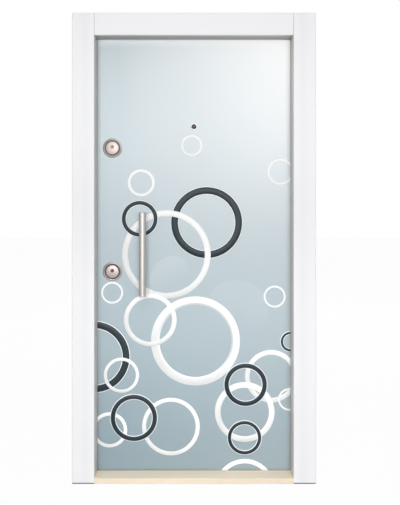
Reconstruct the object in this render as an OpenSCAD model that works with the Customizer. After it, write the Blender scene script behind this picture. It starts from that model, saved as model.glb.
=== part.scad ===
// Steel entrance door: a pressed steel frame with flat casings and a wooden
// threshold, and one inward-opening leaf hung on three barrel hinges.
// Units are millimetres. Z is up, the outside is towards -Y, and the hinges are
// at +X. The origin is the middle of the threshold's underside, in the plane of
// the wall's outer face.

/* [Opening] */
// Clear width between the two jambs
opening_w = 900; // [700:10:1200]
// Clear height from the threshold to the head
opening_h = 2000; // [1650:10:2500]
// Height of the threshold
threshold_h = 25; // [18:1:40]

/* [Frame] */
// Depth of the frame, which is the thickness of the wall
frame_depth = 160; // [150:5:260]
// Thickness of the frame's pressed sheet
sheet_t = 2; // [1.5:0.5:3]
// Width of the frame from the opening's edge to the masonry
frame_w = 50; // [40:1:70]
// Thickness of the strike plate
strike_t = 2; // [1.5:0.5:3]

/* [Casings] */
// Width of the outer casings
casing_w = 100; // [70:5:140]
// Thickness of the outer casings
casing_t = 18; // [12:0.5:24]
// Thickness of the inner casings
inner_casing_t = 16; // [10:1:18]
// Gap between the hinges' frame plates and the inner casings
inner_casing_gap = 2; // [1:0.5:5]
// Rounding of the casings' front corners
casing_round = 2; // [1:0.5:4]
// Height of the plastic feet under the outer side casings
foot_h = 5; // [3:1:8]

/* [Leaf] */
// Distance from the wall's outer face to the leaf
leaf_set = 82; // [70:1:90]
// Thickness of the outer and inner panels
panel_t = 8; // [6:1:10]
// Thickness of the steel body between the panels
leaf_steel_t = 54; // [45:0.5:66]
// How far the leaf laps behind the frame's stop
leaf_lap = 14; // [11:0.5:20]
// Gap beside, above and under the leaf
leaf_gap = 6; // [5:0.5:8]
// Least gap that the leaf's lock-side corner keeps as it swings past the strike plate
swing_gap = 5; // [5:0.5:8]
// Distance from the stop to the leaf, which the gasket's soft lip closes
stop_gap = 8; // [8:1:10]
// Thickness of the gasket's base strip
gasket_t = 3; // [2:0.5:3]
// Width of the gasket's base strip
gasket_w = 11; // [8:1:12]

/* [Hinges] */
// Outer radius of the hinge barrels
barrel_r = 10; // [9:0.5:12]
// Length of each half of a hinge
knuckle_l = 55; // [45:1:70]
// Radius of the hinge pins
pin_r = 6; // [5:0.5:7.5]
// Height of the lowest hinge above the floor
hinge_low_z = 250; // [200:10:350]
// Distance from the leaf's top to the upper hinge
hinge_drop = 255; // [200:10:350]

/* [Pull handle] */
// Length of the pull handle
pull_l = 384; // [300:1:600]
// Radius of the pull handle's tube
pull_r = 16; // [12:0.5:18]
// Height of the pull handle's middle above the floor
pull_z = 1031; // [950:1:1150]
// Distance from the opening's lock side to the pull handle
pull_in = 215; // [180:1:260]
// Free space between the tube and the leaf
pull_gap = 45; // [40:1:50]

/* [Locks] */
// Distance from the opening's lock side to the cylinders
cylinder_in = 72; // [60:1:90]
// Height of the lower cylinder above the floor
lower_lock_z = 946; // [850:1:1050]
// Height of the upper cylinder above the floor
upper_lock_z = 1519; // [1400:1:1600]
// Radius of the escutcheons' domed cap
cap_r = 29; // [24:0.5:36]
// Width of the groove round the cap
groove_w = 7; // [5:0.5:9]
// Width of the escutcheons' flange outside the groove
flange_w = 9; // [7:0.5:12]
// Radius of the key cylinders
plug_r = 8.5; // [7:0.5:10.5]
// How far the key cylinders sit above the middle of their cap
plug_rise = 5; // [0:0.5:8]
// Radius of the round bolts
bolt_r = 8; // [7:0.5:9]
// Distance between two round bolts
bolt_pitch = 30; // [26:1:36]

/* [Peephole] */
// Height of the peephole above the floor
peephole_z = 1618; // [1450:1:1650]
// Radius of the peephole's flange
peephole_r = 15; // [12:0.5:17]

/* [Inside fittings] */
// Distance between the lower cylinder and the lever above it
lever_rise = 85; // [72:1:92]
// Length of the lever
lever_l = 130; // [110:5:150]
// Radius of the lever's bar
lever_r = 9; // [8:0.5:10]
// Free space between the lever and the inside plate
lever_gap = 32; // [28:1:40]

/* [Wall anchors] */
// Height of the lowest wall anchor above the floor
anchor_low_z = 300; // [200:10:400]
// Distance from the opening's head to the highest wall anchor
anchor_drop = 225; // [150:5:300]
// Radius of the anchors' bolt hole
anchor_hole_r = 5.25; // [4:0.25:7]

/* [Hidden] */
$fn = 64;

// Colours
frame_grey = [0.72, 0.71, 0.70];
casing_white = [0.95, 0.95, 0.96];
beech = [0.90, 0.84, 0.75];
leaf_blue = [0.75, 0.82, 0.85];
satin_steel = [0.80, 0.79, 0.77];
satin_nickel = [0.78, 0.72, 0.68];
dark_rubber = [0.12, 0.12, 0.12];

// Cut-outs run past their surface by this much
over = 1;
// Gap all round a fixed piece that lies in a bore
fit_gap = 0.3;
// Radial gap between a hinge pin and its bore
pin_gap = 0.05;

// The opening
half_w = opening_w / 2;
head_z = threshold_h + opening_h;
stop_y = leaf_set - stop_gap;
frame_top_z = head_z + frame_w;
top_z = head_z + casing_w;

// The leaf
leaf_x = half_w + leaf_lap;
leaf_step_h = 6;
leaf_z = leaf_step_h + leaf_gap;
leaf_top_z = head_z + leaf_lap;
leaf_h = leaf_top_z - leaf_z;
panel_margin = 2;
inner_margin = 14;
steel_y = leaf_set + panel_t;
steel_back_y = steel_y + leaf_steel_t;
leaf_back_y = steel_back_y + panel_t;

// The hinges: the axis stands clear of the frame's rear flange
hinge_x = leaf_x + 4;
hinge_y = frame_depth + barrel_r + 5;
hinge_top_z = leaf_top_z - hinge_drop;
hinge_zs = [hinge_low_z, (hinge_low_z + hinge_top_z) / 2, hinge_top_z];
hinge_arm_t = 12;
frame_arm_w = 16;
knuckle_gap = 0.5;
knuckle_cap = 4;

// The rebate: the leaf's gap on the hinge side and at the head, and on the lock side
// room for the corner that swings furthest out, to a whole millimetre
rebate = leaf_lap + leaf_gap;
swing_r = norm([hinge_x + leaf_x, hinge_y - leaf_set]);
lock_rebate = ceil(swing_r - hinge_x + swing_gap + strike_t - half_w);

// The inner casings leave room for the hinges and end flush with the outer ones
inner_casing_set = hinge_x - half_w + frame_arm_w + inner_casing_gap;
inner_casing_w = casing_w - inner_casing_set;

// The locks
cylinder_x = cylinder_in - half_w;
faceplate_t = 3;
faceplate_w = 24;
bolt_y = steel_y + leaf_steel_t / 2;
bolt_depth = 40;
latch_z = lower_lock_z + lever_rise;
latch_w = 12;
latch_h = 30;
faceplate_z0 = lower_lock_z - bolt_pitch - 45;
faceplate_z1 = upper_lock_z + bolt_pitch + 45;
strike_border = 10;
bolt_offsets = [-bolt_pitch, 0, bolt_pitch];
plug_h = 12;

// The escutcheons, from the leaf's face outwards
rim_r = cap_r + groove_w;
rose_r = rim_r + flange_w;
rose_floor = 3;
rim_h = 8;
cap_h = 14;
keyhole_w = 2.4;
keyhole_h = 9;

// The peephole
lens_r = 9;
barrel_bore_r = 8;
peephole_x = 0;

// The pull handle
pull_x = pull_in - half_w;
pull_y = leaf_set - pull_gap - pull_r;
pull_z0 = pull_z - pull_l / 2;
post_r = 8;
post_in = 65;

// The inside fittings
plate_w = 46;
plate_t = 8;
plate_below = 50;
plate_above = 50;
turn_r = 13;
turn_t = 9;
turn_blade = [6, 16, 34];
inner_rose_r = 26;
cover_r = 18;
lever_y = leaf_back_y + plate_t + lever_gap + lever_r;

// The wall anchors
anchor_pitch = (head_z - anchor_drop - anchor_low_z) / 2;
anchor_t = 3;
anchor_h = 60;

// A round bar along Y from y0 to y1
module y_bar(r, y0, y1) {
    translate([0, y0, 0]) rotate([-90, 0, 0]) cylinder(r = r, h = y1 - y0);
}

// A turned piece on the leaf's face: its profile is [radius, height above the face]
module turned(face_y) {
    translate([0, face_y, 0]) rotate([90, 0, 0]) rotate_extrude() children();
}

// Outline of the pressed frame: x is the distance from the opening's edge, y the
// depth from the wall's outer face
module frame_outline(rb) {
    polygon([
        [0, 0], [0, stop_y], [rb, stop_y], [rb, frame_depth],
        [frame_w, frame_depth], [frame_w, frame_depth - sheet_t],
        [rb + sheet_t, frame_depth - sheet_t], [rb + sheet_t, stop_y - sheet_t],
        [sheet_t, stop_y - sheet_t], [sheet_t, sheet_t],
        [frame_w, sheet_t], [frame_w, 0]
    ]);
}

// The part of the head's outline over the rebate, behind the stop
module rebate_outline(rb) {
    intersection() {
        frame_outline(rb);
        translate([0, stop_y]) square([frame_w, frame_depth - stop_y]);
    }
}

// Bolt holes in whatever stands at the lock side, cut along X
module lock_holes(x0, x1, gap) {
    for (z = [lower_lock_z, upper_lock_z], dz = bolt_offsets)
        translate([x0, bolt_y, z + dz]) rotate([0, 90, 0])
            cylinder(r = bolt_r + gap, h = x1 - x0);
    translate([x0, bolt_y - latch_w / 2 - gap, latch_z - latch_h / 2 - gap])
        cube([x1 - x0, latch_w + 2 * gap, latch_h + 2 * gap]);
}

module hinge_jamb() {
    color(frame_grey) translate([half_w, 0, 0])
        linear_extrude(frame_top_z) frame_outline(rebate);
}

module lock_jamb() {
    color(frame_grey) difference() {
        translate([-half_w, 0, 0]) mirror([1, 0, 0])
            linear_extrude(frame_top_z) frame_outline(lock_rebate);
        lock_holes(-half_w - lock_rebate - sheet_t - over,
                   -half_w - lock_rebate + over, 2);
    }
}

module frame_head() {
    color(frame_grey) translate([0, 0, head_z]) {
        translate([-half_w, 0, 0]) rotate([0, -90, 0]) mirror([0, 0, 1])
            linear_extrude(opening_w) frame_outline(rebate);
        translate([-half_w - lock_rebate, 0, 0]) rotate([0, -90, 0]) mirror([0, 0, 1])
            linear_extrude(opening_w + rebate + lock_rebate) rebate_outline(rebate);
    }
}

module threshold() {
    color(beech) {
        translate([-half_w, -casing_t, 0])
            cube([opening_w, casing_t + stop_y, threshold_h]);
        translate([-half_w - lock_rebate, stop_y, 0])
            cube([opening_w + rebate + lock_rebate, frame_depth - stop_y, leaf_step_h]);
    }
}

// A casing's cross-section, w wide and t thick, with round front corners
module casing_outline(w, t, r) {
    translate([0, -t + r]) square([w, t - r]);
    translate([r, -t]) square([w - 2 * r, t]);
    for (x = [r, w - r]) translate([x, -t + r]) circle(r);
}

module outer_side_casing() {
    translate([half_w, 0, foot_h]) linear_extrude(top_z - foot_h)
        casing_outline(casing_w, casing_t, casing_round);
}

module hinge_casing() {
    color(casing_white) outer_side_casing();
}

module lock_casing() {
    color(casing_white) mirror([1, 0, 0]) outer_side_casing();
}

module head_casing() {
    color(casing_white) translate([-half_w, 0, head_z]) rotate([0, -90, 0])
        mirror([0, 0, 1]) linear_extrude(opening_w)
            casing_outline(casing_w, casing_t, casing_round);
}

module casing_feet() {
    inset = 1;
    color(dark_rubber) for (side = [-1, 1])
        translate([side * (half_w + casing_w / 2) - (casing_w / 2 - inset),
                   -casing_t + inset, 0])
            cube([casing_w - 2 * inset, casing_t - 2 * inset, foot_h]);
}

module inner_side_casing() {
    translate([half_w + inner_casing_set, frame_depth, 0]) mirror([0, 1, 0])
        linear_extrude(top_z) casing_outline(inner_casing_w, inner_casing_t, casing_round);
}

module inner_hinge_casing() {
    color(casing_white) inner_side_casing();
}

module inner_lock_casing() {
    color(casing_white) mirror([1, 0, 0]) inner_side_casing();
}

module inner_head_casing() {
    color(casing_white)
        translate([-half_w - inner_casing_set, frame_depth, head_z + inner_casing_set])
            mirror([0, 1, 0]) rotate([0, -90, 0]) mirror([0, 0, 1])
                linear_extrude(opening_w + 2 * inner_casing_set)
                    casing_outline(inner_casing_w, inner_casing_t, casing_round);
}

// The gaskets' base strips lie on the stop, and round the opening's edge
gasket_in = 1;
gasket_side_top = head_z + gasket_in + gasket_w;

module side_gasket() {
    translate([half_w + gasket_in, stop_y, threshold_h])
        cube([gasket_w, gasket_t, gasket_side_top - threshold_h]);
}

module hinge_gasket() {
    color(dark_rubber) side_gasket();
}

module lock_gasket() {
    color(dark_rubber) mirror([1, 0, 0]) side_gasket();
}

module head_gasket() {
    color(dark_rubber) translate([-half_w - gasket_in, stop_y, head_z + gasket_in])
        cube([opening_w + 2 * gasket_in, gasket_t, gasket_w]);
}

module threshold_gasket() {
    color(dark_rubber) translate([-half_w, stop_y, threshold_h - gasket_in - gasket_w])
        cube([opening_w, gasket_t, gasket_w]);
}

// Straps between the frame's flanges, bolted to the masonry
module anchor_row() {
    for (i = [0, 1, 2]) difference() {
        translate([half_w + frame_w - anchor_t, sheet_t,
                   anchor_low_z + i * anchor_pitch - anchor_h / 2])
            cube([anchor_t, frame_depth - 2 * sheet_t, anchor_h]);
        translate([half_w + frame_w - anchor_t - over, frame_depth / 2,
                   anchor_low_z + i * anchor_pitch])
            rotate([0, 90, 0]) cylinder(r = anchor_hole_r, h = anchor_t + 2 * over);
    }
}

module hinge_anchors() {
    color(frame_grey) anchor_row();
}

module lock_anchors() {
    color(frame_grey) mirror([1, 0, 0]) anchor_row();
}

module strike_plate() {
    color(satin_steel) difference() {
        translate([-half_w - lock_rebate, bolt_y - faceplate_w / 2 - strike_border,
                   faceplate_z0 - strike_border])
            cube([strike_t, faceplate_w + 2 * strike_border,
                  faceplate_z1 - faceplate_z0 + 2 * strike_border]);
        lock_holes(-half_w - lock_rebate - over,
                   -half_w - lock_rebate + strike_t + over, 2);
    }
}

// The lower half of a hinge, welded to the frame, with the pin
module frame_hinge(z) {
    color(satin_steel) translate([hinge_x, hinge_y, z]) {
        translate([0, 0, -knuckle_l]) cylinder(r = barrel_r, h = knuckle_l - knuckle_gap);
        translate([0, frame_depth - hinge_y, -knuckle_l])
            cube([frame_arm_w, hinge_y - frame_depth, knuckle_l - knuckle_gap]);
        translate([0, 0, -knuckle_l]) cylinder(r = pin_r, h = 2 * knuckle_l - knuckle_cap - over);
    }
}

// The upper half of a hinge, welded to the leaf, with a blind bore
module leaf_hinge(z) {
    color(satin_steel) translate([hinge_x, hinge_y, z]) difference() {
        translate([0, 0, knuckle_gap]) {
            cylinder(r = barrel_r, h = knuckle_l - knuckle_gap);
            translate([leaf_x - hinge_x - hinge_arm_t, steel_back_y - hinge_y, 0])
                cube([hinge_arm_t, hinge_y - steel_back_y, knuckle_l - knuckle_gap]);
        }
        translate([0, 0, -over])
            cylinder(r = pin_r + pin_gap, h = knuckle_l - knuckle_cap + over);
    }
}

module leaf_body() {
    color(frame_grey) difference() {
        translate([-leaf_x, steel_y, leaf_z]) cube([2 * leaf_x, leaf_steel_t, leaf_h]);
        translate([-leaf_x - over, bolt_y - faceplate_w / 2, faceplate_z0])
            cube([faceplate_t + over, faceplate_w, faceplate_z1 - faceplate_z0]);
        lock_holes(-leaf_x - over, -leaf_x + bolt_depth, fit_gap);
        translate([peephole_x, 0, peephole_z])
            y_bar(barrel_bore_r + fit_gap, steel_y - over, steel_back_y + over);
    }
}

module outer_panel() {
    color(leaf_blue) difference() {
        translate([-leaf_x + panel_margin, leaf_set, leaf_z + panel_margin])
            cube([2 * (leaf_x - panel_margin), panel_t, leaf_h - 2 * panel_margin]);
        translate([peephole_x, 0, peephole_z])
            y_bar(barrel_bore_r + fit_gap, leaf_set - over, steel_y + over);
        for (z = [lower_lock_z, upper_lock_z])
            plug_at(z, fit_gap, over, steel_y + over);
    }
}

module inner_panel() {
    color(casing_white) difference() {
        translate([-leaf_x + inner_margin, steel_back_y, leaf_z + inner_margin])
            cube([2 * (leaf_x - inner_margin), panel_t, leaf_h - 2 * inner_margin]);
        translate([peephole_x, 0, peephole_z])
            y_bar(barrel_bore_r + fit_gap, steel_back_y - over, leaf_back_y + over);
    }
}

module lock_faceplate() {
    color(satin_steel) difference() {
        translate([-leaf_x, bolt_y - faceplate_w / 2, faceplate_z0])
            cube([faceplate_t, faceplate_w, faceplate_z1 - faceplate_z0]);
        lock_holes(-leaf_x - over, -leaf_x + faceplate_t + over, fit_gap);
    }
}

// The latch and the bolts are drawn back, flush with the faceplate
module latch_bolt() {
    color(satin_steel) translate([-leaf_x, bolt_y - latch_w / 2, latch_z - latch_h / 2])
        cube([bolt_depth, latch_w, latch_h]);
}

module bolt_row(z) {
    color(satin_steel) for (dz = bolt_offsets)
        translate([-leaf_x, bolt_y, z + dz]) rotate([0, 90, 0])
            cylinder(r = bolt_r, h = bolt_depth);
}

module lower_bolts() {
    bolt_row(lower_lock_z);
}

module upper_bolts() {
    bolt_row(upper_lock_z);
}

module pull_tube() {
    edge = 1.5;
    color(satin_steel) translate([pull_x, pull_y, pull_z0]) rotate_extrude()
        polygon([
            [0, 0], [pull_r - edge, 0], [pull_r, edge],
            [pull_r, pull_l - edge], [pull_r - edge, pull_l], [0, pull_l]
        ]);
}

module pull_posts() {
    color(satin_steel) for (z = [pull_z0 + post_in, pull_z0 + pull_l - post_in])
        difference() {
            translate([pull_x, 0, z]) y_bar(post_r, pull_y, leaf_set);
            translate([pull_x, pull_y, z - 2 * post_r]) cylinder(r = pull_r, h = 4 * post_r);
        }
}

// The key cylinder's place, or with a gap the bore round it, at a lock's height z
module plug_at(z, gap, front, back) {
    translate([cylinder_x, 0, z + plug_rise])
        y_bar(plug_r + gap, leaf_set - front, back);
}

// The flange of an escutcheon, with its raised rim and the groove inside it
module rose(z) {
    color(satin_nickel) difference() {
        translate([cylinder_x, 0, z]) turned(leaf_set) polygon([
            [0, 0], [rose_r, 0], [rose_r, 2], [rose_r - 3, 5],
            [rim_r + 2, rim_h], [rim_r, rim_h - 1], [rim_r, rose_floor],
            [0, rose_floor]
        ]);
        plug_at(z, fit_gap, cap_h, leaf_set + over);
    }
}

// The domed cap of an escutcheon
module cap(z) {
    crown = 3;
    dome_r = (pow(cap_r, 2) + pow(crown, 2)) / (2 * crown);
    color(satin_nickel) difference() {
        translate([cylinder_x, 0, z]) turned(leaf_set) intersection() {
            translate([0, rose_floor]) square([cap_r, cap_h]);
            translate([0, cap_h - dome_r]) circle(dome_r, $fn = 128);
        }
        plug_at(z, fit_gap, cap_h + over, leaf_set);
    }
}

// A key cylinder, with the keyway in its face
module key_cylinder(z) {
    color(satin_steel) difference() {
        plug_at(z, 0, plug_h, steel_y);
        translate([cylinder_x - keyhole_w / 2, leaf_set - plug_h - over,
                   z + plug_rise - keyhole_h / 2])
            cube([keyhole_w, 10, keyhole_h]);
    }
}

module peephole_barrel() {
    color(satin_steel) translate([peephole_x, 0, peephole_z]) difference() {
        union() {
            turned(leaf_set) polygon([
                [0, 0], [peephole_r, 0], [peephole_r, 1.5], [peephole_r - 1.5, 3],
                [0, 3]
            ]);
            y_bar(barrel_bore_r, leaf_set - over, leaf_back_y);
        }
        y_bar(barrel_bore_r - 2, leaf_set - 5, leaf_back_y + over);
        y_bar(lens_r, leaf_set - 5, leaf_set - 1.5);
    }
}

module peephole_lens() {
    color("black") translate([peephole_x, 0, peephole_z]) turned(leaf_set)
        difference() {
            intersection() {
                translate([0, 1.5]) square([lens_r, 4]);
                translate([0, 4.5 - 12]) circle(12);
            }
            translate([-20, -20]) square([20, 40]);
        }
}

module peephole_cover() {
    color(satin_steel) translate([peephole_x, 0, peephole_z])
        y_bar(cover_r, leaf_back_y, leaf_back_y + 4);
}

module lever_plate() {
    color(satin_steel)
        translate([cylinder_x - plate_w / 2, leaf_back_y, lower_lock_z - plate_below])
            cube([plate_w, plate_t, plate_below + lever_rise + plate_above]);
}

module lever_neck() {
    color(satin_steel) translate([cylinder_x, 0, latch_z])
        y_bar(lever_r, leaf_back_y + plate_t, lever_y - lever_r);
}

module lever_bar() {
    color(satin_steel) translate([cylinder_x, 0, latch_z]) {
        y_bar(lever_r, lever_y - lever_r, lever_y);
        translate([0, lever_y, 0]) {
            sphere(lever_r);
            rotate([0, 90, 0]) cylinder(r = lever_r, h = lever_l);
        }
    }
}

// A thumb-turn: a round neck and a flat blade
module turn(y, z) {
    color(satin_steel) translate([cylinder_x, y, z]) {
        y_bar(turn_r, 0, turn_t);
        translate([-turn_blade[0] / 2, turn_t, -turn_blade[2] / 2]) cube(turn_blade);
    }
}

module lower_turn() {
    turn(leaf_back_y + plate_t, lower_lock_z);
}

module inner_rose() {
    color(satin_steel) translate([cylinder_x, 0, upper_lock_z])
        y_bar(inner_rose_r, leaf_back_y, leaf_back_y + plate_t);
}

module upper_turn() {
    turn(leaf_back_y + plate_t, upper_lock_z);
}

lock_jamb();
hinge_jamb();
frame_head();
threshold();
lock_casing();
hinge_casing();
head_casing();
casing_feet();
inner_lock_casing();
inner_hinge_casing();
inner_head_casing();
lock_gasket();
hinge_gasket();
head_gasket();
threshold_gasket();
lock_anchors();
hinge_anchors();
strike_plate();
frame_hinge(hinge_zs[0]);  // frame_hinge_low
frame_hinge(hinge_zs[1]);  // frame_hinge_mid
frame_hinge(hinge_zs[2]);  // frame_hinge_top
leaf_hinge(hinge_zs[0]);  // leaf_hinge_low
leaf_hinge(hinge_zs[1]);  // leaf_hinge_mid
leaf_hinge(hinge_zs[2]);  // leaf_hinge_top
leaf_body();
outer_panel();
inner_panel();
lock_faceplate();
latch_bolt();
lower_bolts();
upper_bolts();
pull_tube();
pull_posts();
rose(upper_lock_z);  // upper_rose
cap(upper_lock_z);  // upper_cap
key_cylinder(upper_lock_z);  // upper_cylinder
rose(lower_lock_z);  // lower_rose
cap(lower_lock_z);  // lower_cap
key_cylinder(lower_lock_z);  // lower_cylinder
peephole_barrel();
peephole_lens();
peephole_cover();
lever_plate();
lever_neck();
lever_bar();
lower_turn();
inner_rose();
upper_turn();
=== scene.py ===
import math

import bmesh
import bpy
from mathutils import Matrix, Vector


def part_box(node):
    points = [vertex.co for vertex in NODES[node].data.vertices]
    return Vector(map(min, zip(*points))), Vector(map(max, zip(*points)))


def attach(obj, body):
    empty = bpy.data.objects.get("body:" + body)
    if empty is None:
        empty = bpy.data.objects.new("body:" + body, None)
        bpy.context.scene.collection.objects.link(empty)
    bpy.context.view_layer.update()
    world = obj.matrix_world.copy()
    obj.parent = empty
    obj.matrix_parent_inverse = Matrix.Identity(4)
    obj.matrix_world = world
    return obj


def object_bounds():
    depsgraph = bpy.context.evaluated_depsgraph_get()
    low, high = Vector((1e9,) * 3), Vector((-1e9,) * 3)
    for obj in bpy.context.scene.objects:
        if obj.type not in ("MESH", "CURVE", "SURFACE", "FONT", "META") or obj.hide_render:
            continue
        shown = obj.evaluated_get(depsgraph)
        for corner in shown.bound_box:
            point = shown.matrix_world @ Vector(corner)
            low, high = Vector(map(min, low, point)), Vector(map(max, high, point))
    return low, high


bl_info = {
    "name": "Steel entrance door",
    "version": (1, 0, 0),
    "blender": (4, 5, 0),
    "location": "3D View > Sidebar > Door",
    "description": "Printed leaf, seals, screws and finishes of a steel entrance door",
    "category": "Object",
}

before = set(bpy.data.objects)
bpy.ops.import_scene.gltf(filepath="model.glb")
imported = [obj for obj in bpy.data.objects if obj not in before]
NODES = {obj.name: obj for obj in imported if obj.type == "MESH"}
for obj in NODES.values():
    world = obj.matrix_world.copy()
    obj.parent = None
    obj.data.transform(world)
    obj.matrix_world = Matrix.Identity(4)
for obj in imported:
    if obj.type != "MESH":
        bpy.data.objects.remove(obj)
CAD_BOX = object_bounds()
MM = 0.001


# ---------------------------------------------------------------- shader and geometry maths


class Value:
    """A node's output that takes part in arithmetic; each operation adds a Math node."""

    def __init__(self, nodes, socket):
        self.nodes = nodes
        self.socket = socket

    def maths(self, operation, *values):
        return self.nodes.add("ShaderNodeMath", {"operation": operation}, dict(enumerate(values)))

    def __add__(self, other):
        return self.maths("ADD", self, other)

    __radd__ = __add__

    def __sub__(self, other):
        return self.maths("SUBTRACT", self, other)

    def __rsub__(self, other):
        return self.maths("SUBTRACT", other, self)

    def __mul__(self, other):
        return self.maths("MULTIPLY", self, other)

    __rmul__ = __mul__

    def __truediv__(self, other):
        return self.maths("DIVIDE", self, other)

    def __pow__(self, other):
        return self.maths("POWER", self, other)

    def root(self):
        return self.maths("SQRT", self)

    def at_least(self, value):
        return self.maths("MAXIMUM", self, value)

    def at_most(self, value):
        return self.maths("MINIMUM", self, value)

    def size(self):
        return self.maths("ABSOLUTE", self)

    def rise(self, low, high):
        """0 up to low, 1 from high on, and a smooth step between; low may be the larger."""
        ends = (low, high) if low < high else (high, low)
        step = self.nodes.add(
            "ShaderNodeMapRange",
            {"interpolation_type": "SMOOTHSTEP"},
            {"Value": self, "From Min": ends[0], "From Max": ends[1]},
        )
        return step if low < high else 1 - step


class Nodes:
    """Adds nodes to one tree, each by one call."""

    def __init__(self, tree):
        self.tree = tree

    def add(self, kind, settings=None, values=None, out=0):
        node = self.tree.nodes.new(kind)
        for name, value in (settings or {}).items():
            if name == "stops":
                ramp = node.color_ramp
                while len(ramp.elements) < len(value):
                    ramp.elements.new(1.0)
                for element, (place, colour) in zip(ramp.elements, value):
                    element.position = place
                    element.color = (*colour[:3], 1.0)
            else:
                setattr(node, name, value)
        for name, value in (values or {}).items():
            if isinstance(value, Value):
                self.tree.links.new(value.socket, node.inputs[name])
            else:
                node.inputs[name].default_value = value
        return Value(self, node.outputs[out]) if len(node.outputs) else node


def srgb(red, green, blue):
    """A display colour of 0 to 255 as the linear colour that sockets hold."""

    def linear(c):
        c /= 255
        return c / 12.92 if c <= 0.04045 else ((c + 0.055) / 1.055) ** 2.4

    return (linear(red), linear(green), linear(blue), 1.0)


def darker(colour, share):
    """The colour at a share of its strength."""
    return tuple(c * share for c in colour[:3]) + (1.0,)


class Finish(Nodes):
    """One material, built from nodes on the object's own coordinates."""

    def __init__(self, name):
        self.material = bpy.data.materials.new(name)
        self.material.use_nodes = True
        super().__init__(self.material.node_tree)
        self.tree.nodes.clear()
        self.place = self.add("ShaderNodeTexCoord", out=3)

    def axis(self, name, of=None):
        """X, Y or Z of a vector, or else of the object's own coordinates."""
        return self.add(
            "ShaderNodeSeparateXYZ", values={"Vector": of or self.place}, out="XYZ".index(name)
        )

    def stretched(self, scale):
        return self.add("ShaderNodeMapping", values={"Vector": self.place, "Scale": scale})

    def noise(self, scale, detail=2.0, stretch=(1, 1, 1), rough=0.5):
        return self.add(
            "ShaderNodeTexNoise",
            values={
                "Vector": self.stretched(stretch),
                "Scale": scale,
                "Detail": detail,
                "Roughness": rough,
            },
        )

    def attribute(self, name, out=2):
        return self.add("ShaderNodeAttribute", {"attribute_name": name}, out=out)

    def mix(self, factor, first, second):
        return self.add(
            "ShaderNodeMix", {"data_type": "RGBA"}, {0: factor, 6: first, 7: second}, out=2
        )

    def bump(self, height, strength, distance):
        return self.add(
            "ShaderNodeBump",
            values={"Height": height, "Strength": strength, "Distance": distance},
        )

    def surface(self, colour, **more):
        """Ends the material in a Principled shader; names are the sockets' own."""
        values = {"Base Color": colour}
        values.update({name.replace("_", " "): value for name, value in more.items()})
        shader = self.add("ShaderNodeBsdfPrincipled", values=values)
        self.add("ShaderNodeOutputMaterial", values={"Surface": shader})
        return self.material


# ---------------------------------------------------------------- finishes


def powder_coat(name, colour, front=None, back=None):
    """Grey powder paint on sheet steel: a fine orange peel and a hint of clouding. With front and
    back, it carries painted shade: it is darker, and darker again in soft steps from front to
    back."""
    f = Finish(name)
    cloud = f.noise(5, 3)
    dark = darker(colour, 0.8)
    tone = f.mix(cloud * 0.12, colour, dark)
    if front is not None:
        # painted shade: darker throughout, and darker again in steps towards the back
        depth = f.axis("Y") - front
        third, blur = (back - front) / 3, 4 * MM
        steps = sum(depth.rise(third * i - blur, third * i + blur) for i in (1, 2))
        tone = f.mix(0.55 + steps * 0.3, tone, darker(colour, 0.58))
    peel = f.noise(900, 2)
    return f.surface(
        tone, Roughness=0.42 + peel * 0.1, Normal=f.bump(peel, 0.12, 0.2 * MM)
    )


def white_laminate(name, colour, bands=(), top=None):
    """White satin laminate with a faint pore emboss. Each band is painted shade at a distance from
    the middle, for the shade across the casing's profile and along its rounded edges: (distance,
    half width, depth of the shade). Top is the height of the top edge, along which a line of
    painted shade marks the rounded edge."""
    f = Finish(name)
    x, z = f.axis("X"), f.axis("Z")
    tone = f.mix(f.noise(6, 2) * 0.05, colour, srgb(228, 229, 233))
    for distance, half, depth in bands:
        # painted shade in each band
        near = (x.size() - distance).size().rise(half, 0)
        tone = f.mix(near * depth, tone, srgb(150, 152, 160))
    if top:
        # painted shade line along the top edge
        tone = f.mix((z - top).size().rise(3 * MM, 0) * 0.3, tone, srgb(150, 152, 160))
    pores = f.noise(420, 2, (1, 1, 0.12))
    return f.surface(tone, Roughness=0.34 + pores * 0.1, Normal=f.bump(pores, 0.05, 0.2 * MM))


def beech(name, colour):
    """Clear-lacquered beech, its grain along the threshold."""
    f = Finish(name)
    grain = f.noise(26, 5, (0.05, 1, 1), 0.6)
    flecks = f.noise(900, 1, (0.10, 1, 1))
    tone = f.mix(grain.rise(0.35, 0.7) * 0.35, colour, darker(colour, 0.80))
    tone = f.mix(flecks.rise(0.58, 0.74) * 0.08, tone, srgb(180, 146, 108))
    return f.surface(
        tone,
        Roughness=0.36 + grain * 0.12,
        Normal=f.bump(grain * 0.6 + flecks * 0.4, 0.10, 0.3 * MM),
        Coat_Weight=0.25,
        Coat_Roughness=0.2,
    )


def soft_rubber(name, colour):
    f = Finish(name)
    grit = f.noise(700, 2)
    paler = tuple(c * 1.6 + 0.01 for c in colour[:3]) + (1.0,)
    tone = f.mix(grit * 0.3, colour, paler)
    return f.surface(tone, Roughness=0.55 + grit * 0.15, Normal=f.bump(grit, 0.15, 0.2 * MM))


def moulded_plastic(name, colour):
    f = Finish(name)
    grit = f.noise(850, 2)
    tone = f.mix(grit * 0.2, colour, darker(colour, 0.7))
    return f.surface(tone, Roughness=0.48 + grit * 0.1, Normal=f.bump(grit, 0.2, 0.1 * MM))


def brushed_metal(name, colour, lines=(1, 1, 1), rough=0.3):
    """Satin metal with fine lines; the axis with a small number is the one they run along."""
    f = Finish(name)
    line = f.noise(900, 3, lines, 0.6)
    haze = f.noise(14, 3)
    tone = f.mix(line * 0.35, colour, darker(colour, 0.82))
    tone = f.mix(haze * 0.15, tone, darker(colour, 0.88))
    return f.surface(
        tone,
        Metallic=1.0,
        Roughness=rough - 0.05 + line * 0.14,
        Normal=f.bump(line, 0.06, 0.1 * MM),
    )


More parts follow.
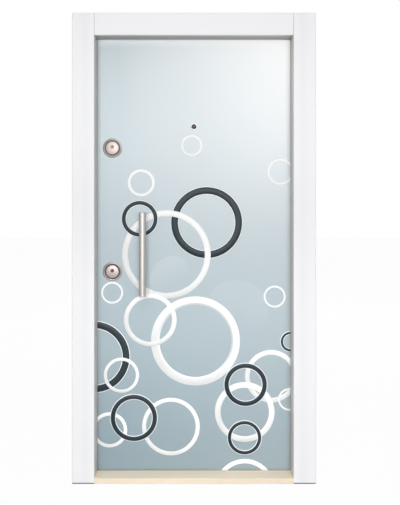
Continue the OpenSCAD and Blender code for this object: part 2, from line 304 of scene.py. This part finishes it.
def grooved_rose(name, colour, inside_colour, inner_radius, *middles):
    """Satin metal with fine turned lines round each middle, given as x and z, and a darker, less
    metallic colour inside inner_radius."""
    f = Finish(name)
    x, z = f.axis("X"), f.axis("Z")
    away = None
    for mx, mz in middles:
        here = ((x - mx) * (x - mx) + (z - mz) * (z - mz)).root()
        away = here if away is None else away.at_most(here)
    turns = away * 9000  # radians: a line every 0.7 mm
    line = turns.maths("SINE", turns) * 0.5 + 0.5
    haze = f.noise(90, 3)
    tone = f.mix(haze * 0.2, colour, darker(colour, 0.8))
    inside = away.rise(inner_radius, inner_radius - 0.6 * MM)
    tone = f.mix(inside, tone, inside_colour)
    return f.surface(
        tone,
        Metallic=1.0 - inside * 0.7,
        Roughness=0.36 + line * 0.06 + haze * 0.06,
        Normal=f.bump(line, 0.04, 0.1 * MM),
    )


def zinc_steel(name, colour):
    """Zinc-plated steel: a soft spangle and fine scratches."""
    f = Finish(name)
    spangle = f.add(
        "ShaderNodeTexVoronoi", {"feature": "F1"}, {"Vector": f.place, "Scale": 140.0}, out=1
    )
    grey = f.add("ShaderNodeRGBToBW", values={"Color": spangle})
    scratch = f.noise(600, 3, (1, 1, 0.08), 0.6)
    tone = f.mix(grey * 0.16, colour, darker(colour, 0.72))
    return f.surface(
        tone, Metallic=1.0, Roughness=0.32 + grey * 0.1 + scratch * 0.08,
        Normal=f.bump(scratch, 0.05, 0.1 * MM),
    )


def dark_lens(name):
    f = Finish(name)
    haze = f.noise(60, 1)
    tone = f.mix(haze * 0.3, srgb(12, 12, 14), srgb(28, 28, 34))
    return f.surface(tone, Roughness=0.06, Coat_Weight=1.0, Coat_Roughness=0.03)


def door_film(name, low, high):
    """The leaf's printed film: blue grey at the foot, paler upwards, with a glow that grows
    towards the top hinge corner, and faint pale discs. Its top edge is much paler, as painted
    light against the shade under the head casing."""
    f = Finish(name)
    x, z = f.axis("X"), f.axis("Z")
    span = high.z - low.z
    tone = f.add(
        "ShaderNodeValToRGB",
        {
            "stops": [
                (0.00, srgb(137, 158, 167)),
                (0.12, srgb(148, 167, 176)),
                (0.35, srgb(171, 188, 195)),
                (0.60, srgb(186, 200, 206)),
                # from here to the top the ramp is painted light against the shade under the head
                # casing
                (0.975, srgb(187, 200, 205)),
                (1.00, srgb(236, 242, 245)),
            ]
        },
        {"Fac": (z - low.z) / span},
    )
    # the glow grows from a place near the lock side and one below mid-height
    side, foot = low.x + 0.12, low.z + 0.43 * span
    across = ((x - side) / (high.x - low.x - 0.14)).at_least(0.0)
    up = ((z - foot) / (0.56 * span)).at_least(0.0)
    glow = (across ** 0.9) * (0.1 + (up ** 1.6) * 0.86)
    tone = f.mix(glow.at_most(1.0), tone, srgb(255, 255, 255))
    # faint discs: (x, z, half length, half width, turn in degrees, strength)
    for cx, cz, a, b, turn, strength in (
        (-0.118, 0.930, 0.104, 0.078, 45, 0.10),
        (0.200, 0.770, 0.150, 0.140, 0, 0.06),
    ):
        s, c = math.sin(math.radians(turn)), math.cos(math.radians(turn))
        u = ((x - cx) * c + (z - cz) * s) / a
        v = ((z - cz) * c - (x - cx) * s) / b
        away = (u * u + v * v).root()
        fade = (v + u * 0.4).rise(-0.9, 0.7)
        tone = f.mix(away.rise(1.0, 0.94) * fade * strength, tone, srgb(255, 255, 255))
    speck = f.noise(260, 3)
    tone = f.mix(speck * 0.03, tone, srgb(240, 246, 248))
    return f.surface(
        tone,
        Roughness=0.36 + speck * 0.06,
        Normal=f.bump(speck, 0.02, 0.1 * MM),
        Coat_Weight=0.15,
        Coat_Roughness=0.25,
    )


def ring_ink_painted_light(name, upper, lower, inner=None, inner_share=0.16):
    """A ring's ink with painted light and shade: upper is its colour up and to the right, where
    painted light falls, lower its colour down and to the left, in painted shade, and inner the two
    colours of its inner edge in the same order, also painted light and shade."""
    f = Finish(name)
    way = f.attribute("way", out=1)
    across = f.attribute("across")
    # painted light and shade: the ring is lighter on the side facing up and to the right
    side = f.axis("X", way) * 0.5 + f.axis("Z", way) * 0.8
    turn = side.rise(-0.75, 0.45)
    tone = f.mix(turn, lower, upper)
    if inner:
        edge = f.mix(turn, inner[1], inner[0])
        tone = f.mix(across.rise(inner_share, inner_share * 0.5), tone, edge)
    speck = f.noise(300, 2)
    tone = f.mix(speck * 0.01, tone, srgb(200, 206, 210))
    return f.surface(
        tone,
        Roughness=0.38 + speck * 0.05,
        Normal=f.bump(speck, 0.02, 0.1 * MM),
        Specular_IOR_Level=0.25,
    )


# ---------------------------------------------------------------- making pieces


def add_piece(name, mesh, body, finish=None):
    piece = bpy.data.objects.new(name, mesh)
    bpy.context.scene.collection.objects.link(piece)
    if finish:
        mesh.materials.clear()
        mesh.materials.append(finish)
    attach(piece, body)


def paint(finish, *names):
    for name in names:
        mesh = NODES[name].data
        mesh.materials.clear()
        mesh.materials.append(finish)


def soften(width, *names):
    """Gives the sharp edges of flat-sided pieces a small worn round."""
    for name in names:
        weld = NODES[name].modifiers.new("Weld", "WELD")
        weld.merge_threshold = 0.01 * MM
        flat = NODES[name].modifiers.new("Flat faces", "DECIMATE")
        flat.decimate_type = "DISSOLVE"
        flat.angle_limit = math.radians(0.5)
        bevel = NODES[name].modifiers.new("Edges", "BEVEL")
        bevel.width = width
        bevel.segments = 3
        bevel.limit_method = "ANGLE"
        bevel.angle_limit = math.radians(40)
        bevel.harden_normals = True


class Maker(Nodes):
    """Builds a Geometry Nodes tree and makes plain meshes from it."""

    def __init__(self, name, inputs):
        super().__init__(bpy.data.node_groups.new(name, "GeometryNodeTree"))
        self.sockets = {}
        for label, kind in inputs.items():
            new = self.tree.interface.new_socket(name=label, in_out="INPUT", socket_type=kind)
            self.sockets[label] = new.identifier
        self.tree.interface.new_socket(
            name="Geometry", in_out="OUTPUT", socket_type="NodeSocketGeometry"
        )
        source = self.tree.nodes.new("NodeGroupInput")
        self.given = {label: Value(self, source.outputs[label]) for label in inputs}

    def finish(self, geometry):
        """Ends the tree: real geometry, with its material."""
        real = self.add("GeometryNodeRealizeInstances", values={0: geometry})
        done = self.add(
            "GeometryNodeSetMaterial", values={"Geometry": real, "Material": self.given["Finish"]}
        )
        self.add("NodeGroupOutput", values={0: done})

    def mesh(self, name, **values):
        """A plain mesh of the tree's result, with its inputs set by their identifiers."""
        holder = bpy.data.objects.new(name, bpy.data.meshes.new(name))
        bpy.context.scene.collection.objects.link(holder)
        modifier = holder.modifiers.new("Maker", "NODES")
        modifier.node_group = self.tree
        for label, value in values.items():
            modifier[self.sockets[label.replace("_", " ")]] = value
        seen = bpy.context.evaluated_depsgraph_get()
        made = bpy.data.meshes.new_from_object(
            holder.evaluated_get(seen), preserve_all_data_layers=True, depsgraph=seen
        )
        holder.modifiers.remove(modifier)
        bpy.data.objects.remove(holder)
        return made


def join(name, meshes):
    """One mesh out of several that share a material."""
    whole = bmesh.new()
    for mesh in meshes:
        whole.from_mesh(mesh)
    joined = bpy.data.meshes.new(name)
    whole.to_mesh(joined)
    whole.free()
    joined.materials.append(meshes[0].materials[0])
    return joined


def cut_to(mesh, low, high):
    """Cuts a mesh off at a box's two sides in X and at its low side in Z, and closes it there."""
    work = bmesh.new()
    work.from_mesh(mesh)
    for point, normal in (
        ((low.x, 0, 0), (-1, 0, 0)),
        ((high.x, 0, 0), (1, 0, 0)),
        ((0, 0, low.z), (0, 0, -1)),
    ):
        parts = work.verts[:] + work.edges[:] + work.faces[:]
        cut = bmesh.ops.bisect_plane(
            work, geom=parts, plane_co=point, plane_no=normal, clear_outer=True
        )
        edges = [e for e in cut["geom_cut"] if isinstance(e, bmesh.types.BMEdge)]
        if edges:
            bmesh.ops.holes_fill(work, edges=[e for e in edges if e.is_valid and e.is_boundary])
    work.to_mesh(mesh)
    work.free()
    return mesh


# ---------------------------------------------------------------- the printed rings

# x and z of the middle, outer radius, width, layer; millimetres, on the leaf's face
PALE_RINGS = (
    (-245, 1358, 63, 13, 1),
    (-10, 1531, 49, 9, 1),
    (403, 1409, 61, 10, 1),
    (-128, 1025, 206, 28, 2),
    (-380, 847, 51, 9, 1),
    (-203, 721, 123, 22, 3),
    (7, 623, 207, 40, 1),
    (-337, 464, 82, 15, 2),
    (375, 829, 51, 9, 1),
    (359, 459, 122, 22, 1),
    (236, 293, 139, 27, 2),
    (443, 351, 52, 9, 2),
    (236, -64, 139, 21, 1),
    (-392, 210, 82, 16, 1),
    (-107, 225, 134, 19, 1),
)
THIN, BROAD = 14, 40  # widths; a pale ring below THIN is thin, one from BROAD on is broad
DARK_RINGS = (
    (59, 1173, 165, 32, 1),
    (-252, 1191, 83, 18, 3),
    (-464, 549, 165, 32, 1),
    (449, 620, 46, 11, 1),
    (240, 420, 99, 21, 3),
    (235, 174, 78, 16, 3),
    (-279, 266, 108, 21, 3),
)


def ring_maker():
    """A flat ring with a bevelled edge. It keeps the way from its middle, and its place
    across the ring from 0 at the inner edge to 1 at the outer."""
    tree = Maker(
        "Printed ring",
        {
            "Radius": "NodeSocketFloat",
            "Width": "NodeSocketFloat",
            "Rise": "NodeSocketFloat",
            "Edge": "NodeSocketFloat",
            "Sides": "NodeSocketInt",
            "Centre": "NodeSocketVector",
            "Finish": "NodeSocketMaterial",
        },
    )
    g = tree.given
    path = tree.add(
        "GeometryNodeCurvePrimitiveCircle",
        values={"Resolution": g["Sides"], "Radius": g["Radius"] - g["Width"] * 0.5},
    )
    section = tree.add(
        "GeometryNodeCurvePrimitiveQuadrilateral",
        {"mode": "TRAPEZOID"},
        {
            "Height": g["Rise"],
            "Bottom Width": g["Width"],
            "Top Width": g["Width"] - g["Edge"] * 2,
            "Offset": 0.0,
        },
    )
    ring = tree.add("GeometryNodeCurveToMesh", values={0: path, 1: section})
    place = tree.add("GeometryNodeInputPosition")
    away = tree.add("ShaderNodeVectorMath", {"operation": "LENGTH"}, {0: place}, out=1)
    across = (away - g["Radius"] + g["Width"]) / g["Width"]
    ring = tree.add(
        "GeometryNodeStoreNamedAttribute",
        {"data_type": "FLOAT", "domain": "POINT"},
        {"Geometry": ring, "Name": "across", "Value": across},
    )
    stood = tree.add(
        "GeometryNodeTransform",
        values={"Geometry": ring, "Rotation": (-math.pi / 2, 0, 0)},
    )
    way = tree.add("ShaderNodeVectorMath", {"operation": "NORMALIZE"}, {0: place})
    stood = tree.add(
        "GeometryNodeStoreNamedAttribute",
        {"data_type": "FLOAT_VECTOR", "domain": "POINT"},
        {"Geometry": stood, "Name": "way", "Value": way},
    )
    tree.finish(
        tree.add(
            "GeometryNodeTransform", values={"Geometry": stood, "Translation": g["Centre"]}
        )
    )
    return tree


class DoorPrintSettings(bpy.types.PropertyGroup):
    layer: bpy.props.FloatProperty(
        name="Layer", description="Thickness of one printed layer",
        default=0.25 * MM, unit="LENGTH",
    )
    edge: bpy.props.FloatProperty(
        name="Edge", description="Width of a ring's bevelled edge", default=0.5 * MM, unit="LENGTH"
    )
    keyline: bpy.props.FloatProperty(
        name="Keyline", description="Pale line round a dark ring", default=3.0 * MM, unit="LENGTH"
    )
    sides: bpy.props.IntProperty(
        name="Sides", description="Straight pieces in one ring", default=144, min=16
    )
    pale_ink: bpy.props.FloatVectorProperty(
        name="Pale ink", description="Colour of the pale rings", subtype="COLOR", size=4,
        default=srgb(255, 255, 255),
    )
    dark_ink: bpy.props.FloatVectorProperty(
        name="Dark ink", description="Colour of the dark rings", subtype="COLOR", size=4,
        default=srgb(44, 56, 62),
    )


class DOOR_OT_print_rings(bpy.types.Operator):
    """Make the pale and dark rings printed on the leaf's outer face"""

    bl_idname = "door.print_rings"
    bl_label = "Printed rings"

    def execute(self, context):
        wanted = context.scene.door_print
        low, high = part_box("outer_panel")
        maker = ring_maker()
        # each ink below carries painted light up and to the right and painted shade down and to
        # the left
        pale = ring_ink_painted_light("Pale ring ink", tuple(wanted.pale_ink), srgb(234, 235, 235))
        thin = ring_ink_painted_light("Thin ring ink", tuple(wanted.pale_ink), srgb(250, 252, 252))
        banded = ring_ink_painted_light(
            "Banded ring ink", tuple(wanted.pale_ink), srgb(232, 233, 233),
            (srgb(212, 217, 219), srgb(253, 254, 254)), 0.30
        )
        dark = ring_ink_painted_light(
            "Dark ring ink", tuple(wanted.dark_ink), srgb(34, 48, 55),
            (srgb(20, 34, 42), srgb(20, 34, 42))
        )
        keyline = ring_ink_painted_light("Keyline ink", srgb(252, 254, 255), srgb(236, 243, 246))

        def rings(name, table, ink, grow=0.0, under=0.0):
            made = []
            for x, z, radius, width, layer in table:
                rise = wanted.layer * (layer + 0.5 - under)
                ring = maker.mesh(
                    name,
                    Radius=radius * MM + grow,
                    Width=width * MM + 2 * grow,
                    Rise=rise,
                    Edge=min(wanted.edge, width * MM / 4),
                    Sides=wanted.sides,
                    Centre=(x * MM, low.y - rise / 2, z * MM),
                    Finish=ink,
                )
                made.append(cut_to(ring, low, high))
            add_piece(name, join(name, made), "leaf")

        rings("thin_pale_rings", [r for r in PALE_RINGS if r[3] < THIN], thin)
        rings("pale_rings", [r for r in PALE_RINGS if THIN <= r[3] < BROAD], pale)
        rings("broad_pale_ring", [r for r in PALE_RINGS if r[3] >= BROAD], banded)
        rings("dark_rings", DARK_RINGS, dark)
        rings("ring_keylines", DARK_RINGS, keyline, wanted.keyline, 0.3)
        return {"FINISHED"}


# ---------------------------------------------------------------- seals


class DoorSealSettings(bpy.types.PropertyGroup):
    reach: bpy.props.FloatProperty(
        name="Reach", description="How far the soft lip comes past the strip it grows from",
        default=3.4 * MM, unit="LENGTH",
    )
    lip: bpy.props.FloatProperty(
        name="Lip", description="Width of the seal's soft lip", default=13 * MM, unit="LENGTH"
    )
    clearance: bpy.props.FloatProperty(
        name="Clearance", description="Gap left to the closed leaf",
        default=0.4 * MM, unit="LENGTH",
    )


def seal_lip(name, low, high, front_y, axis, inward, wanted):
    """A rounded lip on a base strip along X or Z, which reaches past it into the opening;
    inward is the side of the opening, 1 or -1, or 0 for a lip round the strip's low edge."""
    along = 0 if axis == "X" else 2
    other = 2 - along
    edge = high[other] if inward > 0 else low[other]
    middle = edge + inward * (wanted.reach - wanted.lip / 2)
    depth = front_y - wanted.clearance - high.y
    section = []
    steps = 12
    for i in range(steps + 1):
        angle = math.pi * i / steps
        across = middle + wanted.lip / 2 * math.cos(angle)
        section.append((across, high.y + depth * math.sin(angle)))
    work = bmesh.new()
    ends = []
    for end in (low[along], high[along]):
        loop = []
        for side, depth_y in section:
            point = [0.0, depth_y, 0.0]
            point[along], point[other] = end, side
            loop.append(work.verts.new(point))
        ends.append(loop)
    count = len(section)
    for i in range(count):
        j = (i + 1) % count
        work.faces.new((ends[0][i], ends[0][j], ends[1][j], ends[1][i]))
    work.faces.new(ends[0])
    work.faces.new(ends[1])
    bmesh.ops.recalc_face_normals(work, faces=work.faces)
    for face in work.faces:
        face.smooth = len(face.verts) == 4
    mesh = bpy.data.meshes.new(name)
    work.to_mesh(mesh)
    work.free()
    return mesh


class DOOR_OT_seals(bpy.types.Operator):
    """Make the soft lips of the rubber seals between the stop and the leaf"""

    bl_idname = "door.seals"
    bl_label = "Seal lips"

    def execute(self, context):
        wanted = context.scene.door_seals
        leaf_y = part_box("outer_panel")[0].y
        rubber = soft_rubber("Grey rubber", srgb(172, 171, 170))
        for node, axis, inward in (
            ("lock_gasket", "Z", 1),
            ("hinge_gasket", "Z", -1),
            ("head_gasket", "X", -1),
            ("threshold_gasket", "X", 0),
        ):
            low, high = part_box(node)
            name = node.replace("gasket", "seal_lip")
            add_piece(
                name,
                seal_lip(name, low, high, leaf_y, axis, inward, wanted),
                "frame",
                rubber,
            )
        paint(rubber, "lock_gasket", "hinge_gasket", "head_gasket", "threshold_gasket")
        return {"FINISHED"}


# ---------------------------------------------------------------- screws


def screw_maker():
    """A row of countersunk screw heads with a cross recess, along Z."""
    tree = Maker(
        "Screw row",
        {
            "Count": "NodeSocketInt",
            "Start": "NodeSocketVector",
            "End": "NodeSocketVector",
            "Turn": "NodeSocketVector",
            "Head radius": "NodeSocketFloat",
            "Head height": "NodeSocketFloat",
            "Finish": "NodeSocketMaterial",
        },
    )
    g = tree.given
    head = tree.add(
        "GeometryNodeMeshCone",
        values={
            "Vertices": 24,
            "Radius Top": g["Head radius"] * 0.86,
            "Radius Bottom": g["Head radius"],
            "Depth": g["Head height"],
        },
    )
    bar = tree.add("GeometryNodeMeshCube")
    slots = []
    for size in ((1.25, 0.22, 2.0), (0.22, 1.25, 2.0)):
        scale = tree.add(
            "ShaderNodeVectorMath",
            {"operation": "SCALE"},
            {0: size, "Scale": g["Head radius"]},
        )
        lift = tree.add(
            "ShaderNodeCombineXYZ", values={"Z": g["Head radius"] + g["Head height"] * 0.5}
        )
        slots.append(
            tree.add(
                "GeometryNodeTransform",
                values={"Geometry": bar, "Translation": lift, "Scale": scale},
            )
        )
    crossed = tree.add("GeometryNodeJoinGeometry", values={0: slots[0]})
    tree.tree.links.new(slots[1].socket, crossed.socket.node.inputs[0])
    cut = tree.add("GeometryNodeMeshBoolean", {"operation": "DIFFERENCE"}, {0: head, 1: crossed})
    line = tree.add(
        "GeometryNodeMeshLine",
        {"mode": "END_POINTS"},
        {"Count": g["Count"], "Start Location": g["Start"], "Offset": g["End"]},
    )
    placed = tree.add(
        "GeometryNodeInstanceOnPoints",
        values={"Points": line, "Instance": cut, "Rotation": g["Turn"]},
    )
    tree.finish(placed)
    return tree


class DoorScrewSettings(bpy.types.PropertyGroup):
    radius: bpy.props.FloatProperty(
        name="Radius", description="Radius of the screw heads", default=4.2 * MM, unit="LENGTH"
    )
    height: bpy.props.FloatProperty(
        name="Height", description="How far the heads stand out", default=0.6 * MM, unit="LENGTH"
    )


class DOOR_OT_screws(bpy.types.Operator):
    """Make the screws of the lock's faceplate, the strike plate and the inside fittings"""

    bl_idname = "door.screws"
    bl_label = "Screws"

    def execute(self, context):
        wanted = context.scene.door_screws
        maker = screw_maker()
        steel = zinc_steel("Screw steel", srgb(190, 190, 188))
        quarter = math.pi / 2

        def row(name, body, count, start, end, turn):
            mesh = maker.mesh(
                name,
                Count=count,
                Start=start,
                End=end,
                Turn=turn,
                Head_radius=wanted.radius,
                Head_height=wanted.height,
                Finish=steel,
            )
            add_piece(name, mesh, body)

        low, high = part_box("lock_faceplate")
        y = (low.y + high.y) / 2
        inset = 14 * MM
        row("faceplate_screws", "leaf", 3, (low.x, y, low.z + inset),
            (low.x, y, high.z - inset), (0, -quarter, 0))
        low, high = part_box("strike_plate")
        y = (low.y + high.y) / 2
        row("strike_screws", "frame", 3, (high.x, y, low.z + inset),
            (high.x, y, high.z - inset), (0, quarter, 0))
        low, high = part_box("lever_plate")
        x = (low.x + high.x) / 2
        row("lever_plate_screws", "leaf", 2, (x, high.y, low.z + inset),
            (x, high.y, high.z - inset), (-quarter, 0, 0))
        return {"FINISHED"}


# ---------------------------------------------------------------- finishes on the CAD pieces


class DoorFinishSettings(bpy.types.PropertyGroup):
    frame_paint: bpy.props.FloatVectorProperty(
        name="Frame paint", description="Powder paint of the frame and the leaf's steel",
        subtype="COLOR", size=4, default=srgb(215, 210, 206),
    )
    laminate: bpy.props.FloatVectorProperty(
        name="Laminate", description="White laminate of the casings", subtype="COLOR", size=4,
        default=srgb(235, 235, 237),
    )
    wood: bpy.props.FloatVectorProperty(
        name="Wood", description="Lacquered wood of the threshold", subtype="COLOR", size=4,
        default=srgb(240, 224, 200),
    )
    casing_edge: bpy.props.FloatProperty(
        name="Casing edge", description="Rounding of the outer casings' edges",
        default=2.0 * MM, unit="LENGTH",
    )
    worn_edge: bpy.props.FloatProperty(
        name="Worn edge", description="Rounding of sharp edges", default=0.8 * MM, unit="LENGTH"
    )


class DOOR_OT_frame_finish(bpy.types.Operator):
    """Finish the pressed steel frame, its anchors and the leaf's steel body"""

    bl_idname = "door.frame_finish"
    bl_label = "Steel frame"

    def execute(self, context):
        wanted = context.scene.door_finish
        paint(
            powder_coat("Frame powder coat", tuple(wanted.frame_paint)),
            "lock_jamb", "hinge_jamb", "lock_anchors", "hinge_anchors", "leaf_body",
        )
        leaf_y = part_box("outer_panel")[0].y
        # the head frame's soffit gets painted shade, darkest next to the leaf
        paint(
            powder_coat("Head powder coat", tuple(wanted.frame_paint), CAD_BOX[0].y, leaf_y),
            "frame_head",
        )
        soften(wanted.worn_edge, "lock_jamb", "hinge_jamb", "frame_head", "leaf_body")
        return {"FINISHED"}


class DOOR_OT_casings(bpy.types.Operator):
    """Finish the casings, their feet and the leaf's inner panel"""

    bl_idname = "door.casings"
    bl_label = "Casings"

    def execute(self, context):
        wanted = context.scene.door_finish
        white = tuple(wanted.laminate)
        low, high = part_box("hinge_casing")
        inner = low.x
        # painted shade: a faint broad band across each side casing, a line along its outer edge
        # and one along its top
        sides = white_laminate(
            "Casing laminate", white,
            ((inner + 40 * MM, 34 * MM, 0.05), (high.x, 3 * MM, 0.35)), high.z,
        )
        # painted shade along the head casing's ends at the joints, and along its top edge
        head = white_laminate("Head laminate", white, ((inner, 3.5 * MM, 0.55),), high.z)
        plain = white_laminate("Inner laminate", white)
        paint(sides, "lock_casing", "hinge_casing")
        paint(head, "head_casing")
        paint(plain, "inner_lock_casing", "inner_hinge_casing", "inner_head_casing",
              "inner_panel")
        # the feet are painted dark grey, which also gives the line of painted shade at the
        # casings' foot
        paint(moulded_plastic("Foot plastic", srgb(120, 120, 122)), "casing_feet")
        soften(wanted.worn_edge, "inner_panel", "inner_lock_casing", "inner_hinge_casing",
               "inner_head_casing")
        soften(wanted.casing_edge, "lock_casing", "hinge_casing", "head_casing")
        return {"FINISHED"}


class DOOR_OT_threshold(bpy.types.Operator):
    """Finish the wooden threshold"""

    bl_idname = "door.threshold"
    bl_label = "Threshold"

    def execute(self, context):
        wanted = context.scene.door_finish
        paint(beech("Lacquered beech", tuple(wanted.wood)), "threshold")
        soften(wanted.worn_edge, "threshold")
        return {"FINISHED"}


class DOOR_OT_panel(bpy.types.Operator):
    """Finish the leaf's outer panel with its graded film"""

    bl_idname = "door.panel"
    bl_label = "Outer panel"

    def execute(self, context):
        low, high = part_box("outer_panel")
        paint(door_film("Graded door film", low, high), "outer_panel")
        return {"FINISHED"}


class DOOR_OT_handles(bpy.types.Operator):
    """Finish the pull handle and the inside fittings"""

    bl_idname = "door.handles"
    bl_label = "Handles"

    def execute(self, context):
        upright = brushed_metal(
            "Satin steel tube", srgb(205, 198, 194), (1, 1, 0.05), 0.48
        )
        level = brushed_metal("Satin steel", srgb(205, 204, 202), (0.05, 1, 1), 0.3)
        paint(upright, "pull_tube")
        paint(level, "pull_posts", "lever_neck", "lever_bar", "lower_turn",
              "upper_turn", "inner_rose", "peephole_cover", "lever_plate")
        soften(0.8 * MM, "lever_plate")
        return {"FINISHED"}


class DOOR_OT_locks(bpy.types.Operator):
    """Finish the escutcheons, the key cylinders and the peephole"""

    bl_idname = "door.locks"
    bl_label = "Locks and peephole"

    def execute(self, context):
        middles = []
        for node in ("upper_rose", "lower_rose"):
            low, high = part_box(node)
            middles.append(((low.x + high.x) / 2, (low.z + high.z) / 2))
        rose = grooved_rose(
            "Warm nickel flange", srgb(222, 215, 211), srgb(66, 60, 56), 36.5 * MM, *middles
        )
        cap = brushed_metal("Warm nickel cap", srgb(190, 177, 174), (1, 1, 1), 0.50)
        # painted shade: the key plugs are painted dark, as the shade in their recess in the caps
        plug = brushed_metal("Cylinder nickel", srgb(92, 84, 80), (1, 1, 1), 0.34)
        # the peephole's dark inside is a painted reflection of dark surroundings in its chrome
        low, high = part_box("peephole_barrel")
        barrel = grooved_rose(
            "Peephole nickel", srgb(206, 202, 200), srgb(52, 47, 46), 12.5 * MM,
            ((low.x + high.x) / 2, (low.z + high.z) / 2),
        )
        paint(rose, "upper_rose", "lower_rose")
        paint(barrel, "peephole_barrel")
        paint(cap, "upper_cap", "lower_cap")
        paint(plug, "upper_cylinder", "lower_cylinder")
        paint(dark_lens("Peephole lens"), "peephole_lens")
        return {"FINISHED"}


class DOOR_OT_ironwork(bpy.types.Operator):
    """Finish the hinges, the bolts, the faceplate and the strike plate"""

    bl_idname = "door.ironwork"
    bl_label = "Hinges and bolts"

    def execute(self, context):
        steel = zinc_steel("Zinc-plated steel", srgb(196, 197, 198))
        paint(steel, *[n for n in NODES if "hinge_" in n and n.split("_")[0] in ("frame", "leaf")])
        paint(steel, "strike_plate", "lock_faceplate", "latch_bolt", "lower_bolts", "upper_bolts")
        return {"FINISHED"}


# ---------------------------------------------------------------- the stage


class DoorStageSettings(bpy.types.PropertyGroup):
    eye_distance: bpy.props.FloatProperty(
        name="Eye distance", description="From the casings' front to the camera",
        default=3.289, unit="LENGTH",
    )
    eye_height: bpy.props.FloatProperty(
        name="Eye height", description="Height of the camera above the floor",
        default=1.371, unit="LENGTH",
    )
    lens: bpy.props.FloatProperty(
        name="Lens", description="Focal length in millimetres", default=52.0
    )


def area_lamp(name, place, target, size, power, spread=180):
    """A lamp turned to its target: metres, watts, and the spread in degrees."""
    lamp = bpy.data.lights.new(name, "AREA")
    lamp.spread = math.radians(spread)
    lamp.shape = "RECTANGLE"
    lamp.size, lamp.size_y = size
    lamp.energy = power
    holder = bpy.data.objects.new(name, lamp)
    holder.location = place
    holder.rotation_euler = (Vector(target) - Vector(place)).to_track_quat("-Z", "Y").to_euler()
    bpy.context.scene.collection.objects.link(holder)


class DOOR_OT_stage(bpy.types.Operator):
    """Make the floor, the soft light and the camera"""

    bl_idname = "door.stage"
    bl_label = "Stage"

    def execute(self, context):
        scene = context.scene
        wanted = scene.door_stage
        low, high = CAD_BOX
        self.floor()
        self.world(scene)
        middle = (0, 0, (low.z + high.z) / 2)
        area_lamp("Left lamp", (-1.0, -5.8, 2.05), middle, (1.2, 1.2), 86)
        area_lamp("Right lamp", (1.05, -6.2, 2.0), middle, (1.8, 1.2), 104)
        area_lamp("Step lamp", (0.0, -1.1, 2.0), (0, 0, low.z), (1.8, 0.3), 2.1, 50)
        area_lamp("Back lamp", (0.6, 5.0, 2.4), middle, (2.4, 2.4), 120)
        camera = bpy.data.cameras.new("Camera")
        camera.lens = wanted.lens
        camera.sensor_width = 36.0
        camera.shift_x = 0.0120
        camera.shift_y = -0.1436
        holder = bpy.data.objects.new("Camera", camera)
        holder.location = (0, low.y - wanted.eye_distance, wanted.eye_height)
        holder.rotation_euler = (math.pi / 2, 0, 0)
        scene.collection.objects.link(holder)
        scene.camera = holder
        scene.view_settings.view_transform = "Standard"
        return {"FINISHED"}

    def floor(self):
        work = bmesh.new()
        bmesh.ops.create_grid(work, x_segments=1, y_segments=1, size=14)
        mesh = bpy.data.meshes.new("Floor")
        work.to_mesh(mesh)
        work.free()
        floor = bpy.data.objects.new("Floor", mesh)
        f = Finish("Pale floor")
        seen = f.add("ShaderNodeLightPath", out=0)
        matt = f.add("ShaderNodeBsdfDiffuse", values={"Color": srgb(210, 210, 210)})
        white = f.add("ShaderNodeEmission", values={"Color": (1, 1, 1, 1), "Strength": 1.0})
        both = f.add("ShaderNodeMixShader", values={0: seen * 0.97, 1: matt, 2: white})
        f.add("ShaderNodeOutputMaterial", values={"Surface": both})
        mesh.materials.append(f.material)
        bpy.context.scene.collection.objects.link(floor)

    def world(self, scene):
        scene.world = bpy.data.worlds.new("Studio")
        scene.world.use_nodes = True
        w = Nodes(scene.world.node_tree)
        w.tree.nodes.clear()
        camera = w.add("ShaderNodeLightPath", out=0)
        glossy = w.add("ShaderNodeLightPath", out=3)
        passing = w.add("ShaderNodeLightPath", out=6)
        clear = (camera + glossy + passing).at_most(1.0)
        soft = w.add("ShaderNodeBackground", values={"Color": (1, 1, 1, 1), "Strength": 0.44})
        white = w.add("ShaderNodeBackground", values={"Color": (1, 1, 1, 1), "Strength": 1.0})
        both = w.add("ShaderNodeMixShader", values={0: clear, 1: soft, 2: white})
        w.add("ShaderNodeOutputWorld", values={"Surface": both})


# ---------------------------------------------------------------- the add-on

OPERATORS = (
    DOOR_OT_frame_finish,
    DOOR_OT_casings,
    DOOR_OT_threshold,
    DOOR_OT_panel,
    DOOR_OT_print_rings,
    DOOR_OT_seals,
    DOOR_OT_screws,
    DOOR_OT_handles,
    DOOR_OT_locks,
    DOOR_OT_ironwork,
    DOOR_OT_stage,
)
SETTINGS = {
    "door_print": DoorPrintSettings,
    "door_seals": DoorSealSettings,
    "door_screws": DoorScrewSettings,
    "door_finish": DoorFinishSettings,
    "door_stage": DoorStageSettings,
}


class DOOR_PT_pieces(bpy.types.Panel):
    """Lists the door's pieces in the sidebar"""

    bl_label = "Steel entrance door"
    bl_idname = "DOOR_PT_pieces"
    bl_space_type = "VIEW_3D"
    bl_region_type = "UI"
    bl_category = "Door"

    def draw(self, context):
        for operator in OPERATORS:
            self.layout.operator(operator.bl_idname)


def register():
    for name, group in SETTINGS.items():
        bpy.utils.register_class(group)
        setattr(bpy.types.Scene, name, bpy.props.PointerProperty(type=group))
    for made in (*OPERATORS, DOOR_PT_pieces):
        bpy.utils.register_class(made)


def unregister():
    for made in reversed((*OPERATORS, DOOR_PT_pieces)):
        bpy.utils.unregister_class(made)
    for name, group in SETTINGS.items():
        delattr(bpy.types.Scene, name)
        bpy.utils.unregister_class(group)


def main():
    register()
    for operator in OPERATORS:
        group, action = operator.bl_idname.split(".")
        getattr(getattr(bpy.ops, group), action)()


if __name__ == "__main__":
    main()
